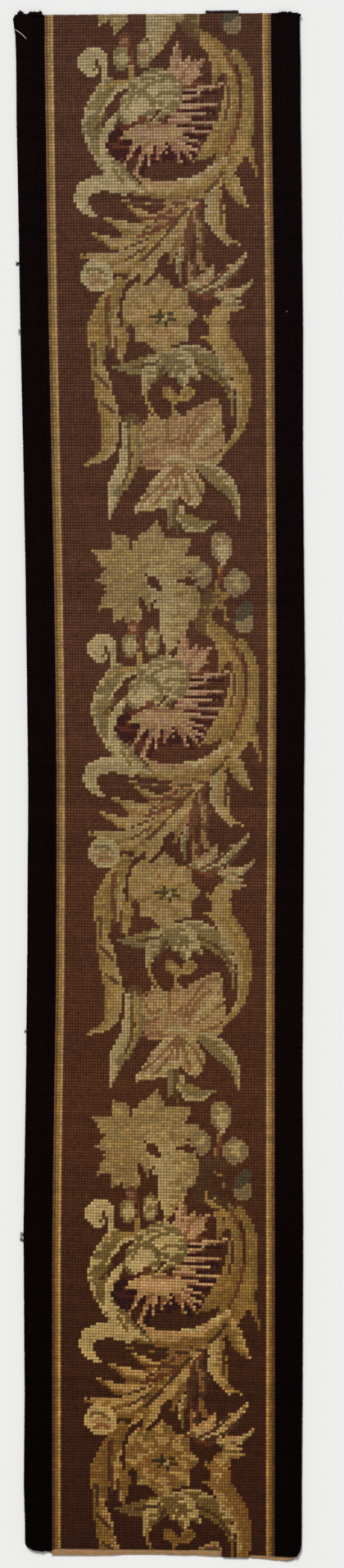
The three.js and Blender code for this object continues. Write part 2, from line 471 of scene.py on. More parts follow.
def draw_right_scroll(chart):
    """The tall scroll: an inner and an outer band from the stem above, and the leaves where they end."""
    chart.leaf(DEEP_GOLDS[::-1], [(54, 8.6), (57.4, 13), (58, 18), (55.6, 25)], 2.9, widest=0.5, root=0.8)
    chart.leaf(DEEP_GOLDS[::-1], [(64, 13.4), (67, 22), (67.4, 34), (67.8, 44), (71, 55)], 3.0, root=0.5,
               widest=0.45, mix=0.16)
    chart.leaf(DEEP_GOLDS[::-1],
               [(57, 9.6), (61.8, 17), (63.4, 28), (61.6, 37), (56.4, 44), (49.4, 49.4)], 4.3, root=0.4,
               widest=0.7, mix=0.16)
    chart.leaf(DEEP_GOLDS[:4], [(65.4, 36), (62.6, 46), (57, 55), (50, 61.6), (44, 66)], 4.3, widest=0.3,
               root=0.8, mix=0.16)
    chart.leaf("sand gold olive", [(60.4, 52), (62.6, 58), (67, 64.6)], 3.2, lobes=2, bite=0.3,
               widest=0.6, root=0.7)
    chart.leaf("gold gold sand pale_sage", [(56.6, 60), (56.6, 69), (60.4, 77)], 3.9, lobes=3, bite=0.24,
               widest=0.45, root=0.7, mix=0.16)
    chart.leaf("gold sand", [(57, 69), (59.4, 75), (64.6, 77.2)], 1.7, widest=0.5, root=0.8)
    chart.stroke("rust", [(61, 13.6), (64.8, 22), (65, 34), (62, 44), (57, 53), (50, 61)], 0.6)
    for line in (
        [(60, 20), (61.6, 28), (60, 36)],
        [(61.4, 50), (57, 56.4), (52, 61)],
        [(58.4, 63), (58.4, 70)],
    ):
        chart.stroke("brown", line, 0.5)
    chart.stroke("ground", [(64.4, 18), (65.8, 25), (65.6, 31)])


def draw_scroll_stem(chart):
    """The dark stem that comes down to the right scroll from the berries above it."""
    chart.leaf("olive dark_olive dark_olive brown", [(53, 196), (50.6, 202), (52.4, 207), (56.4, 211)],
               3.9, root=0.7)


def draw_sweep(chart):
    """The long band under the thistle and the pale hook at its left end."""
    chart.leaf("old_gold gold sand peach cream", [(60, 50), (49, 57.4), (37, 59), (21, 58.6)], 3.2,
               root=0.5, widest=0.6)
    chart.leaf("brown tan", [(52, 62), (38, 63.6), (25, 62.8)], 1.0, mix=0.3)
    chart.leaf("sand peach", [(40, 58), (35, 57), (30.4, 54)], 2.0, root=0.8, widest=0.3)
    chart.leaf("sage pale_sage cream", [(21.6, 48.6), (24.6, 54), (34, 60)], 3.4, widest=0.45)
    hook = [(26, 58.4), (20, 56.8)] + spiral((16.4, 62.4), (5.2, 4.4), (262, 120), 4) + [(16, 67.6)]
    chart.leaf("pale_sage pale_sage cream", hook, 2.8, root=0.8, widest=0.5)
    chart.stroke("olive", [(22, 51), (26, 57)])


def draw_acanthus(chart):
    """The big leaf: curved fingers that point left, over a broad midrib that runs down to the bud."""
    chart.leaf("tan brown tan", [(52, 60.6), (42, 67), (31, 73), (22, 77)], 3.0, root=0.5, mix=0.3)
    for base, bend, tip, half in (
        ((45, 66), (37, 69.8), (28, 64.6), 2.7),
        ((43, 68), (32, 73.4), (19, 68), 3.1),
        ((38, 73), (26, 77.6), (15.4, 73.4), 2.5),
        ((38, 75), (25, 82), (11.4, 81), 3.0),
        ((34, 79), (28, 84.4), (20, 85.8), 2.4),
    ):
        chart.leaf("old_gold gold sand sand", [base, bend, tip], half, lobes=2, bite=0.16, widest=0.6,
                   root=0.4, mix=0.16)
        chart.stroke("brown", [(base[0] - 1, base[1] + 1), (bend[0], bend[1] + 1.6)], 0.5)
    chart.leaf("tan rust tan brown", [(51, 61.6), (42, 67.4), (33, 72.4)], 2.8, widest=0.3, mix=0.3)
    chart.leaf("sand sand gold old_gold", [(50.6, 62), (44, 71), (35, 80), (26, 90)], 4.2, lobes=3,
               bite=0.14, root=0.5, widest=0.5, mix=0.16)
    chart.leaf("sand gold", [(36, 79), (33, 86), (31.4, 91)], 2.8, root=0.8)
    chart.stroke("brown", [(47, 65.4), (40.4, 73.4), (32, 82.6)], 0.6)
    for line in ([(44.6, 67.6), (39, 71.4), (30, 75)], [(41, 66.6), (36, 68.4), (32, 68.6)]):
        chart.stroke("rust", line)


def draw_round_bud(chart):
    chart.oval("peach pale_sage cream cream", (16.8, 87.8), (5.6, 5.2), petals=5, tilt=30, depth=0.14,
               mix=0.2)
    chart.stroke("sage", [(13.4, 86), (16.6, 85.4), (19.4, 87.4)], 0.5)
    chart.stroke("tan", [(14.6, 90.4), (17.4, 89.4), (19, 90.6)], 0.5)


def draw_small_curls(chart):
    """The thin stem below the acanthus, with a small leaf to its right and pale curls at its foot."""
    chart.leaf("brown rust", [(51.4, 64), (48, 70), (47.4, 78), (47, 86)], 1.2, root=0.8, widest=0.6,
               mix=0.2)
    chart.leaf("brown tan brown", [(49.6, 67), (51.6, 74), (50.6, 82)], 2.2, root=0.6, mix=0.16)
    chart.leaf("tan", [(50.6, 80), (52, 85), (55, 86.6)], 1.1, root=0.7)
    chart.leaf("tan old_gold", [(45, 75), (42.8, 79), (41, 83.6)], 1.4, root=0.8)
    chart.leaf("sage pale_sage", [(45.4, 79), (44, 84), (44.4, 89.6)], 1.4, root=0.8)
    chart.leaf("peach tan", [(47.6, 84), (48.4, 90), (52, 93)], 1.2, root=0.8)
    chart.stroke("brown", [(49.6, 83), (49, 88), (51, 91)])


def draw_sprig(chart):
    chart.leaf("rust brown", [(57.4, 94.6), (51, 94), (45.6, 92)], 1.4, mix=0.3)
    for base, tip, half in (
        ((47.6, 91.4), (55.8, 84.4), 2.6),
        ((50.6, 92.4), (61, 84.6), 2.5),
        ((52, 92.6), (66.4, 81), 2.7),
        ((57, 94.4), (68.4, 90), 2.3),
        ((57.6, 94.6), (64.6, 96.2), 1.9),
    ):
        middle = ((base[0] + tip[0]) / 2 + 1.2, (base[1] + tip[1]) / 2 + 1.2)
        chart.leaf(["peach"] + PALES, [base, middle, tip], half, lobes=2, bite=0.25, root=0.6, mix=0.16)
    for line in (((50, 93), (56, 89.6), (60, 85.6)), ((53, 93.6), (60, 90.4), (65, 85))):
        chart.stroke("brown", line, 0.5)


def draw_flower(chart):
    """The open flower: pointed petals round a green heart."""
    middle = (37.8, 101)
    reaches = (13.4, 12, 12.2, 12.6)
    for n, angle in enumerate(np.radians(np.arange(-90, 270, 45))):
        tip = polar(middle, reaches[n % 4], angle)
        chart.leaf("gold moss gold moss", [middle, tip], 5.8, root=0.3, widest=0.6, mix=0.2)
        chart.leaf("sand moss", [towards(middle, tip, 0.6), tip], 2.4, root=0.3, widest=0.5, mix=0.2)
    chart.oval("tan gold sand", middle, (8.6, 8.2), mix=0.3)
    for angle in np.radians(np.arange(-67.5, 292, 45)):
        chart.stroke("old_gold tan", [polar(middle, radius, angle) for radius in (4.6, 9.4)], 0.5)
    chart.oval("olive olive gold", (38.4, 102), (4.6, 2.9))
    for angle in np.radians((200, 250, 310, 20, 70, 130)):
        chart.stroke("bottle", [polar((38.6, 102), radius, angle, squash=0.6) for radius in (0.8, 4.0)])
    chart.stroke("pale_sage", [(38, 102.2), (39.4, 102)])


def draw_left_frond(chart):
    chart.leaf(DEEP_GOLDS[::-1], [(24, 90), (19.4, 99), (16.6, 109), (17, 120)], 4.2, root=0.5,
               widest=0.6, mix=0.24)
    chart.leaf("old_gold gold sand", [(29.6, 91.6), (24, 103), (24.2, 117)], 2.9, root=0.5, widest=0.75)
    chart.leaf(GOLDS, [(15.4, 115), (17.8, 125), (20, 137), (18.6, 147), (11.4, 151.6)], 3.8, lobes=4,
               bite=0.2, root=0.6, widest=0.55, mix=0.2)
    chart.stroke("rust brown", [(20.4, 94.6), (19.6, 102), (20.6, 112)], 0.8)
    chart.stroke("ground", [(25.4, 94), (24, 100), (24.6, 104)])
    for line in (
        [(15, 110), (15.2, 118)],
        [(22.4, 109), (22.8, 116)],
        [(15.6, 121), (19.8, 125.4)],
        [(17, 130.2), (21, 133.4)],
    ):
        chart.stroke("brown", line)


def draw_right_leaf(chart):
    """The long stem with leaves, right of the flower, which ends in an arc round the bell."""
    spine = [(57, 103), (58, 110), (63.6, 119), (65.4, 129), (63.6, 140), (54.6, 151)]
    chart.leaf(GOLDS[::-1], spine, 3.7, root=0.9, widest=0.3, vein="old_gold")
    chart.leaf("gold sand gold", [(57, 108), (57.6, 102), (60.6, 98.8), (65.6, 98.8)], 3.2, root=0.8)
    chart.leaf("gold", [(58, 104.6), (55, 103.4), (52, 101.8)], 1.5)
    chart.leaf("gold", [(59, 110.6), (55.6, 109.8), (51.6, 108.6)], 1.5)
    chart.leaf("sage olive", [(50, 119), (57, 121.6), (61.4, 127), (61.6, 134)], 1.6, widest=0.35)


def draw_green_leaf(chart):
    """The leaf under the flower: one side lobed and pale, the other a long curved blade."""
    chart.leaf("sage sage olive", [(43, 115.4), (33, 118.2), (21.4, 118.8)], 4.3, lobes=2, bite=0.14,
               widest=0.45, mix=0.16)
    chart.leaf("sage pale_sage pale_sage", [(37, 117), (33.6, 121), (31.8, 128)], 4.2, lobes=2, bite=0.2,
               widest=0.3, root=0.8, mix=0.16)
    chart.stroke("gold", [(32.6, 126), (33.2, 131), (35.4, 134.4)])
    chart.leaf(SAGES, [(38, 115), (49, 115), (58, 119.8), (62, 131)], 4.0, widest=0.35, mix=0.16)
    for tip in ((41, 121.6), (45.4, 126), (50.4, 122.6)):
        chart.leaf("pale_sage cream sage", [(44, 114.6), tip], 3.2, widest=0.5, root=0.8, mix=0.2)
    for line in (
        [(37, 116.8), (29, 118.6)],
        [(38.6, 118.4), (35.6, 123.8)],
        [(49, 116.8), (56, 120.2), (60.4, 126)],
    ):
        chart.stroke("dark_olive", line, 0.5)


def draw_bow(chart):
    chart.oval("gold old_gold", (40.2, 127.4), (2.7, 2.1), tilt=30)
    chart.oval("old_gold gold", (46.2, 127.4), (2.9, 2.2), tilt=-30)
    chart.stroke("gold", [(43.4, 129), (41.6, 131), (41.8, 134.4)], 0.7)
    chart.oval("sage dark_olive dark_olive", (27.6, 137), (2.8, 3.4))


def draw_bell(chart):
    """The large flower that hangs open: petals that spread upwards from its throat, and a skirt."""
    throat = (42.6, 151.6)
    petals = [  # bend, tip, half width
        ((36, 150.4), (29.4, 148), 3.2),
        ((35, 145.6), (27.8, 141), 4.8),
        ((37, 142), (33.6, 134.6), 5.4),
        ((53, 149), (56.6, 145.4), 3.4),
        ((43.4, 142), (42.6, 133.6), 5.2),
        ((52.6, 144.6), (58, 138.6), 4.8),
        ((49.6, 141.6), (56, 129.4), 7.0),
    ]
    for bend, tip, half in petals:
        chart.leaf("peach tan sand peach sand", [throat, bend, tip], half, root=0.3, widest=0.7, mix=0.2)
    for bend, tip, half in petals:
        edge = (bend[0] - 0.7 * half, bend[1] + 0.3 * half)
        chart.stroke("fawn", [bend, edge, (tip[0] - 0.6 * half, tip[1] + 3), (tip[0], tip[1] + 2)], 0.5)
    chart.stroke("fawn", [(46, 147), (48.6, 140), (54, 135)], 0.5)
    chart.leaf("cream sand", [(48, 146.6), (54.6, 139), (57.4, 131.6)], 1.5, mix=0.2)
    skirt = [
        ((38.6, 159.4), (28, 167.2), 5.2),
        ((46.8, 158.6), (49, 166), 4.8),
        ((43.6, 157), (42, 162.4), 4.6),
    ]
    for bend, tip, half in skirt:
        chart.leaf("sand cream peach cream", [throat, bend, tip], half, root=0.7, widest=0.6, mix=0.2)
    for line in (
        [throat, (37, 158), (31, 163.6)],
        [throat, (40, 158), (35, 164.6)],
        [throat, (45.4, 158), (46.4, 163.6)],
        [throat, (48, 156), (50.6, 161)],
        [throat, (42.6, 159)],
    ):
        chart.stroke("fawn", line, 0.5)
    chart.leaf("cream sand", [(38, 151), (43, 149.6), (52, 152.4)], 1.5, mix=0.2)
    chart.stroke("rose", [(31, 149.6), (34.6, 151.4), (38, 151.6)])


def draw_sepals(chart):
    chart.leaf("sage pale_sage cream", [(25, 138), (25.4, 150), (21.8, 159), (19.6, 169.4)], 2.8,
               root=0.5, widest=0.7)
    chart.leaf("sage gold", [(28.6, 139), (28.8, 150), (24.8, 160)], 1.7, root=0.8)
    chart.stroke("dark_olive", [(26.8, 141), (26.8, 151), (24.6, 157)], 0.5)
    chart.leaf("pale_sage sage sage", [(51.6, 152), (57.6, 156.4), (61.6, 161.6), (63.6, 169.4)], 3.3,
               root=0.7, widest=0.35)
    chart.stroke("olive", [(54, 154), (59, 158.6), (61.6, 163)], 0.5)


def draw_stem(chart):
    chart.stroke("sage", [(40, 164), (39.6, 172)], 0.9)
    chart.stroke("dark_olive", [(42, 163.4), (42.4, 174)], 0.9)
    chart.stroke("pale_sage", [(43.8, 165.6), (44.4, 171)], 0.8)
    chart.leaf("olive sage pale_sage", [(43, 168.6), (49, 171.8), (56, 170)], 3.0)


def draw_vine_leaf(chart):
    """The broad leaf: toothed lobes that fan out from its middle, the lowest one long and pale."""
    middle = (31.6, 188)
    lobes = [  # tip, half width
        ((20.4, 175), 6.6),
        ((14, 180.6), 6.2),
        ((15, 190.4), 6.8),
        ((15.6, 200), 6.6),
        ((20.4, 204.4), 5.6),
        ((25.4, 207), 5.8),
        ((35.4, 171), 7.6),
        ((47, 176), 6.6),
        ((49.6, 183), 5.8),
    ]
    for tip, half in lobes:
        chart.leaf("moss sand moss moss", [middle, tip], half, lobes=5, bite=0.24, root=0.7, widest=0.55,
                   mix=0.24)
    chart.oval("moss sand moss", middle, (9, 8), mix=0.3)
    chart.leaf("moss sand pale_sage pale_sage", [(36.4, 189), (42, 198), (38.6, 215.4)], 9.4, lobes=3,
               bite=0.2, root=0.6, widest=0.45, mix=0.24)
    for tip, half in lobes[:4]:
        chart.stroke("gold", [towards(middle, tip, 0.25), towards(middle, tip, 0.75)], 0.5)
    chart.leaf("ground", [(36.4, 193.4), (31.6, 188.4)], 1.8, widest=0.5)
    chart.leaf("ground", [(27, 174), (26.8, 180)], 0.8, root=1.0)
    chart.leaf("ground", [(29.4, 196.4), (31.4, 203), (32.4, 210)], 1.8, root=0.3, widest=0.85)
    chart.leaf("ground", [(48, 190.6), (43, 190.4)], 1.2, root=0.8)


def draw_berries(chart):
    """Three pale berries on a thin stem."""
    chart.stroke("rust old_gold", [(57.6, 184.6), (56.4, 191), (56.6, 197)], 1.0)
    chart.leaf("old_gold brown old_gold", [(60, 194), (54.6, 197.6), (49, 201.4)], 2.2, lobes=3, bite=0.3,
               mix=0.4)
    chart.leaf("old_gold tan", [(54, 198), (58, 199.6), (59, 203.4)], 1.2, mix=0.4)
    berry = "pale_sage moss pale_teal"
    chart.oval(berry, (57.4, 178.6), (3.9, 4.8), mix=0.2)
    chart.leaf("pale_sage cream pale_teal", [(57.4, 180), (57.8, 186)], 2.6, root=1.0, widest=0.2)
    chart.oval(berry, (50.6, 188.4), (3.6, 4.3), mix=0.2)
    chart.oval(berry, (62.4, 191), (4.4, 4.6), mix=0.2)


def draw_teal_bud(chart):
    chart.oval("pale_teal", (65, 204.4), (3.0, 4.0))
    chart.leaf("teal", [(66, 199.4), (61.4, 204.6)], 2.2, root=0.9)


MOTIFS = [  # in the order that they are worked over each other
    draw_right_leaf, draw_left_frond, draw_green_leaf, draw_bow, draw_bell, draw_sepals, draw_stem,
    draw_berries, draw_teal_bud, draw_scroll_stem, draw_right_scroll, draw_vine_leaf,
    draw_left_scroll, draw_bud_pair, draw_thistle, draw_acanthus, draw_sweep, draw_small_curls,
    draw_round_bud, draw_flower, draw_sprig,
]

# At the top end the strip starts with the last rows of a repeat, worked a little higher and further left

TOP_MOTIFS = [draw_scroll_stem, draw_teal_bud, draw_vine_leaf]
NEXT_MOTIFS = [draw_right_scroll, draw_left_scroll, draw_bud_pair, draw_thistle]
TOP_SHIFT = (-2.0, -3.0)
TOP_ROWS = 19

# Where the scroll's stem lies in the last repeat, which is in darker wool

LAST_STEM_ROWS = slice(392, 414)
LAST_STEM_COLUMNS = slice(48, 60)


def whole_chart():
    """The strip's rows and columns, and a wool for each stitch, bands and lines included."""
    repeat, start = Chart(), Chart()
    for chart, shift, motifs in (
        (repeat, (0.0, 0.0), MOTIFS),
        (start, TOP_SHIFT, TOP_MOTIFS),
        (start, (0.0, 0.0), NEXT_MOTIFS),
    ):
        chart.shift = shift
        for draw in motifs:
            draw(chart)
    rows = np.arange(FIRST_ROW, MOST_ROWS)
    field = repeat.cells[rows % REPEAT_ROWS]
    field[-FIRST_ROW : TOP_ROWS - FIRST_ROW] = start.cells[:TOP_ROWS]
    field[0] = NAMES.index("black")
    line = numbers(LINE_WOOLS)
    field[:, :LINE_COLUMNS] = line
    field[:, -LINE_COLUMNS:] = line[::-1]
    stem = field[LAST_STEM_ROWS, LAST_STEM_COLUMNS]
    stem[np.isin(stem, numbers(["olive", "dark_olive", "old_gold"]))] = NAMES.index("brown")
    band = np.full((len(rows), BAND_COLUMNS), NAMES.index("band"))
    return rows, np.arange(-BAND_COLUMNS, FIELD_COLUMNS + BAND_COLUMNS), np.hstack([band, field, band])


chart_rows, chart_cols, chart_wools = whole_chart()

# Colour of each stitch

GROUND_AGEING = [  # row, and what is left there of red, green and blue
    (0, 1.0, 1.0, 1.0),
    (200, 1.0, 0.96, 0.86),
    (380, 0.90, 0.74, 0.50),
    (440, 0.61, 0.48, 0.30),
    (530, 0.41, 0.28, 0.19),
]
MOTIF_AGEING = [
    (0, 1.0, 1.0, 1.0),
    (200, 1.0, 0.97, 0.88),
    (310, 0.94, 0.90, 0.78),
    (380, 0.98, 0.90, 0.70),
    (430, 0.80, 0.67, 0.42),
    (475, 0.67, 0.49, 0.25),
    (530, 0.65, 0.47, 0.24),
]
DEEP_AGEING = [
    (0, 1.0, 1.0, 1.0),
    (200, 1.0, 0.95, 0.84),
    (388, 0.86, 0.72, 0.54),
    (394, 0.58, 0.46, 0.34),
    (530, 0.46, 0.36, 0.26),
]
PALE_AGEING = [
    (0, 1.0, 1.0, 1.0),
    (200, 1.0, 0.97, 0.88),
    (310, 0.94, 0.90, 0.78),
    (380, 1.0, 0.92, 0.72),
    (430, 1.20, 1.08, 0.78),
    (475, 1.10, 0.90, 0.56),
    (530, 0.92, 0.76, 0.48),
]
DEEP_WOOLS = ["brown", "fawn", "dark_olive", "bottle", "wine", "brick"]
PALE_WOOLS = ["line_pale", "cream", "pale_sage", "sand", "pink", "peach"]
ALBEDO_GAIN = 1.72         # how much lighter a wool is than a worked patch of it looks
SHADE_STITCH = 0.10        # how much the shade changes from one stitch to the next
SHADE_ROW = 0.08           # and from one row to the next
ROW_RUNS = (3, 9)          # how many rows may have one shade in common
ROW_SHARES = (0.7, 0.6)    # how much of the change is in such runs, and how much in single rows


def linear(srgb):
    c = np.asarray(srgb, float) / 255
    return np.where(c <= 0.04045, c / 12.92, ((c + 0.055) / 1.055) ** 2.4)


def between_rows(table):
    """What is left of red, green and blue in each row of the strip."""
    return np.stack([between(table, n, chart_rows) for n in (1, 2, 3)], -1)[:, None, :]


def stitch_colours():
    """The colour of each stitch: its wool's, lightened, shaded by stitch and by row, and aged."""
    random = np.random.default_rng(SEED + 1)
    base = linear(np.array(list(WOOLS.values())))[chart_wools] * ALBEDO_GAIN
    shape = chart_wools.shape
    shade = 1 + SHADE_STITCH * random.standard_normal(shape)
    lengths = random.integers(*ROW_RUNS, shape[0])
    abrash = np.repeat(random.standard_normal(shape[0]), lengths)[: shape[0]]
    rows = SHADE_ROW * (ROW_SHARES[0] * abrash + ROW_SHARES[1] * random.standard_normal(shape[0]))
    shade = shade * (1 + rows)[:, None]
    age = between_rows(MOTIF_AGEING) * np.ones(base.shape)
    for table, names in (
        (GROUND_AGEING, ["ground", "band", "line_tan"]),
        (DEEP_AGEING, DEEP_WOOLS),
        (PALE_AGEING, PALE_WOOLS),
    ):
        chosen = np.isin(chart_wools, numbers(names))[..., None]
        age = np.where(chosen, between_rows(table), age)
    return np.clip(base * shade[..., None] * age, 0, 1)


chart_colours = stitch_colours()

# Camera and lights

VIEW_HEIGHT = 1.360        # metres of the strip's plane that the picture takes in, from top to bottom
LENS = 100.0
SENSOR = 36.0
AIM = Vector((0.0119, 0.0018, 0.0023))
KEY_LIGHT = 2.75
KEY_SIZE = math.radians(20)
KEY_WAY = Vector((0.35, -0.9, -1.0))    # the way that the light goes
FILL = 0.36
FLOOR_COLOUR = (0.86, 0.86, 0.85, 1)
FLOOR_REACH = 6.0
FLOOR_DOWN = 0.0002        # keeps the floor just clear of the cloth


def add_object(name, data):
    ob = bpy.data.objects.new(name, data)
    bpy.context.scene.collection.objects.link(ob)
    return ob


def set_inputs(node, **values):
    for name, value in values.items():
        node.inputs[name.replace("_", " ")].default_value = value


def make_camera():
    camera = bpy.data.cameras.new("camera")
    camera.lens = LENS
    camera.sensor_width = SENSOR
    camera.clip_end = 100
    ob = add_object("camera", camera)
    ob.location = AIM + Vector((0, 0, VIEW_HEIGHT * LENS / SENSOR))
    bpy.context.scene.camera = ob


def make_lights():
    key = bpy.data.lights.new("key", "SUN")
    key.energy = KEY_LIGHT
    key.angle = KEY_SIZE
    add_object("key", key).rotation_euler = KEY_WAY.to_track_quat("-Z", "Y").to_euler()
    world = bpy.data.worlds.new("studio")
    world.use_nodes = True
    set_inputs(world.node_tree.nodes["Background"], Color=(1, 1, 1, 1), Strength=FILL)
    bpy.context.scene.world = world


def make_floor():
    mesh = bpy.data.meshes.new("floor")
    corners = [(x * FLOOR_REACH, y * FLOOR_REACH, 0) for x, y in ((-1, -1), (1, -1), (1, 1), (-1, 1))]
    mesh.from_pydata(corners, [], [(0, 1, 2, 3)])
    floor = add_object("floor", mesh)
    floor.location.z = -FLOOR_DOWN
    material = bpy.data.materials.new("pale_floor")
    material.use_nodes = True
    set_inputs(material.node_tree.nodes["Principled BSDF"], Base_Color=FLOOR_COLOUR, Roughness=0.9)
    mesh.materials.append(material)


make_camera()
make_lights()
make_floor()
bpy.context.scene.view_settings.view_transform = "Standard"

# Materials

FIBRE_ANGLE = math.radians(45)
FIBRE_STRETCH = 4.5        # how much longer than wide the fibres look
ROUGH_SPREAD = 0.08


def wool_material(name, sheen, shine, rough, fibre_depth):
    """Wool whose colour comes from each stitch, with slanting fibres and wider patches in it."""
    material = bpy.data.materials.new(name)
    material.use_nodes = True
    nodes, links = material.node_tree.nodes, material.node_tree.links

    def add(kind, **values):
        """A node with its inputs set by name, with an underscore for each space."""
        node = nodes.new("ShaderNode" + kind)
        set_inputs(node, **values)
        return node

    shader = nodes["Principled BSDF"]
    set_inputs(shader, Sheen_Weight=sheen, Sheen_Roughness=0.6, Specular_IOR_Level=shine)
    colour = add("Attribute")
    colour.attribute_name = "wool_colour"
    place_node = add("TexCoord")
    slant = add("Mapping", Rotation=(0, 0, FIBRE_ANGLE), Scale=(FIBRE_STRETCH, 1, 1))
    slant.vector_type = "TEXTURE"
    fibre = add("TexNoise", Scale=4200, Detail=2)
    mottle = add("TexNoise", Scale=90, Detail=3)
    spread = add("MapRange", To_Min=0.76, To_Max=1.24)
    patches = add("MapRange", To_Min=0.82, To_Max=1.18)
    shades = add("Math")
    shades.operation = "MULTIPLY"
    tint = add("VectorMath")
    tint.operation = "SCALE"
    roughness = add("MapRange", To_Min=rough - ROUGH_SPREAD, To_Max=min(rough + ROUGH_SPREAD, 1.0))
    bump = add("Bump", Strength=fibre_depth, Distance=0.0002)
    for out, into in (
        (place_node.outputs["Object"], slant.inputs["Vector"]),
        (slant.outputs["Vector"], fibre.inputs["Vector"]),
        (place_node.outputs["Object"], mottle.inputs["Vector"]),
        (fibre.outputs["Fac"], spread.inputs["Value"]),
        (mottle.outputs["Fac"], patches.inputs["Value"]),
        (spread.outputs["Result"], shades.inputs[0]),
        (patches.outputs["Result"], shades.inputs[1]),
        (colour.outputs["Color"], tint.inputs[0]),
        (shades.outputs["Value"], tint.inputs["Scale"]),
        (tint.outputs["Vector"], shader.inputs["Base Color"]),
        (fibre.outputs["Fac"], roughness.inputs["Value"]),
        (roughness.outputs["Result"], shader.inputs["Roughness"]),
        (fibre.outputs["Fac"], bump.inputs["Height"]),
        (bump.outputs["Normal"], shader.inputs["Normal"]),
    ):
        links.new(out, into)
    return material


# Meshes


def make_mesh(name, points, quads, colours, material, slot, corners=None):
    """One piece: points in metres, faces of four corners, and a colour for each point. corners holds the
    place of each face's corners on the flat map, which is the view from above if it isn't given."""
    mesh = bpy.data.meshes.new(name)
    mesh.vertices.add(len(points))
    mesh.vertices.foreach_set("co", points.astype(np.float32).ravel())
    mesh.loops.add(quads.size)
    mesh.loops.foreach_set("vertex_index", quads.astype(np.int32).ravel())
    mesh.polygons.add(len(quads))
    mesh.polygons.foreach_set("loop_start", np.arange(0, quads.size, 4, dtype=np.int32))
    mesh.polygons.foreach_set("use_smooth", np.ones(len(quads), bool))
    mesh.update(calc_edges=True)
    attribute = mesh.color_attributes.new("wool_colour", "FLOAT_COLOR", "POINT")
    rgba = np.concatenate([colours, np.ones((len(colours), 1))], 1)
    attribute.data.foreach_set("color", rgba.astype(np.float32).ravel())
    if corners is None:
        low, high = points.min(0), points.max(0)
        corners = ((points - low) / (high - low))[quads.ravel(), :2]
    layer = mesh.uv_layers.new(name="OFBake")
    layer.uv.foreach_set("vector", corners.astype(np.float32).ravel())
    mesh.materials.append(material)
    piece = add_object(name, mesh)
    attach(piece, "root")
    return piece


# One stitch in its own cell: u runs to the right, v down, both from 0 to 1, and the height is a share of
# the wool's. One low relief stands for both legs, with a ridge that rises to the right.

STITCH_SIDE = 4
STITCH = np.array([  # u, v, height: four points across by four down
    (0.03, 0.02, 0.12),
    (0.35, -0.02, 0.30),
    (0.68, -0.04, 0.40),
    (0.99, 0.00, 0.22),
    (-0.02, 0.34, 0.42),
    (0.33, 0.34, 0.82),
    (0.68, 0.31, 1.00),
    (1.03, 0.34, 0.56),
    (-0.03, 0.66, 0.56),
    (0.32, 0.69, 1.00),
    (0.67, 0.66, 0.82),
    (1.02, 0.66, 0.42),
    (0.01, 1.00, 0.22),
    (0.32, 1.04, 0.40),
    (0.65, 1.02, 0.30),
    (0.97, 0.98, 0.12),
])
DIP_PAINTED_SHADE = 0.3           # painted shade: how dark each stitch's colour is made where it dips into the canvas, standing in for the shade between stitches
SQUEEZED = 1.0             # how far a stitch's middle may lie below the line where the wool stops
FARTHEST_TURN = math.radians(115)   # how far round the fold the stitches go
LOOSE = 0.02               # how much a stitch may lie off its place, in stitches
PLUMP = 1.02               # how much larger than its cell a stitch is
PLUMP_SPREAD = 0.035
HEIGHT_SPREAD = 0.08
LEAST_HEIGHT = 0.8
DENSE_BAND = 0.6           # how full the dips between the band's stitches are


def grid_quads(grid):
    """The faces between the points of a grid."""
    return np.stack([grid[:-1, :-1], grid[:-1, 1:], grid[1:, 1:], grid[1:, :-1]], -1).reshape(-1, 4)


STITCH_QUADS = grid_quads(np.arange(len(STITCH)).reshape(STITCH_SIDE, STITCH_SIDE).T)


def worked(cols, rows):
    """True where a stitch's middle lies inside the worked outline, or only just below its foot."""
    across, up = place(cols + 0.5, rows + 0.5)
    start = FOLD_RADIUS + WOOL - FARTHEST_TURN * (FOLD_RADIUS + WOOL / 2)
    inside = (across > between(EDGES, 1, up) + start) & (across < between(EDGES, 2, up) - start)
    return inside & (up > between(FOOT, 2, across) - SQUEEZED) & (up < between(TOP, 1, across))


def make_stitches(name, wools, first, last, material, slot, cols=True, dense=0.0):
    """The stitches of some wools, between two rows, as one piece. dense, from 0 to 1, fills the dips."""
    row_index, col_index = np.nonzero(
        np.isin(chart_wools, numbers(wools))
        & (chart_rows >= first)[:, None]
        & (chart_rows < last)[:, None]
        & cols
    )
    kept = worked(chart_cols[col_index], chart_rows[row_index])
    row_index, col_index = row_index[kept], col_index[kept]
    count = len(row_index)
    random = np.random.default_rng(SEED + 2 + len(name) + count)
    shift = random.normal(0, LOOSE, (count, 2))
    plump = PLUMP + random.normal(0, PLUMP_SPREAD, (count, 1))
    high = np.clip(1 + random.normal(0, HEIGHT_SPREAD, (count, 1)), LEAST_HEIGHT, 1.0)
    u = 0.5 + (STITCH[None, :, 0] - 0.5) * plump + shift[:, :1]
    v = 0.5 + (STITCH[None, :, 1] - 0.5) * plump + shift[:, 1:]
    height = (dense + (1 - dense) * STITCH[None, :, 2]) * high * WOOL
    across, up = place(chart_cols[col_index][:, None] + u, chart_rows[row_index][:, None] + v)
    up = np.maximum(up, between(FOOT, 2, across))
    points = in_frame(*on_cloth(across, up, height)).reshape(-1, 3)
    quads = (STITCH_QUADS[None] + len(STITCH) * np.arange(count)[:, None, None]).reshape(-1, 4)
    # painted shade: each point's colour is darkened the lower it lies in its stitch, as the dips between
    # stitches are shaded
    painted_dip_shade = (DIP_PAINTED_SHADE + (1 - DIP_PAINTED_SHADE) * STITCH[:, 2] ** 2)[None, :, None]
    colours = (chart_colours[row_index, col_index][:, None, :] * painted_dip_shade).reshape(-1, 3)
    return make_mesh(name, points, quads, colours, material, slot)


